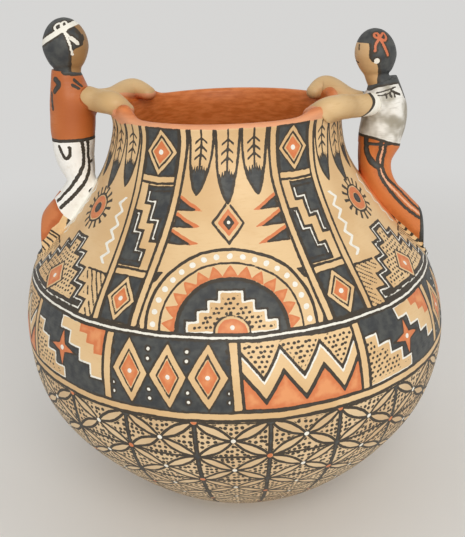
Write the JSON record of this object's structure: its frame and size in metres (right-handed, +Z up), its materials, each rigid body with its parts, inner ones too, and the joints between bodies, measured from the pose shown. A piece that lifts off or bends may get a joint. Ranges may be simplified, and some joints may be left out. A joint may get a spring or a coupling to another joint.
{
  "type": "painted pottery jar",
  "caption": "Wide-bellied painted clay jar with an open mouth and modelled figures that hold the rim and stand on the shoulder as handles.",
  "frame": {"origin": "middle of the flat foot, where the jar's axis meets the ground", "axes": "+Z up along the jar's axis, +X towards the figure with the lower head, -Y towards the viewer of the painted front"},
  "size_m": [0.2502, 0.2502, 0.2834],
  "materials": {
    "tan_slip": "stone-polished slip, satin",
    "black_slip": "painted slip, satin",
    "red_slip": "polished red slip, satin",
    "white_slip": "painted slip, matt",
    "skin_slip": "polished slip, satin"
  },
  "bodies": {
    "root": {"base_bowl": "tan_slip", "lower_wall": "tan_slip", "belly_band": "black_slip", "shoulder_wall": "tan_slip", "neck_wall": "tan_slip", "rim_coil": "red_slip", "left_head": "black_slip", "left_torso": "red_slip", "left_near_arm": "skin_slip", "left_far_arm": "skin_slip", "left_near_leg": "white_slip", "left_far_leg": "white_slip", "right_head": "black_slip", "right_torso": "white_slip", "right_near_arm": "skin_slip", "right_far_arm": "skin_slip", "right_near_leg": "red_slip", "right_far_leg": "red_slip"}
  },
  "joints": []
}
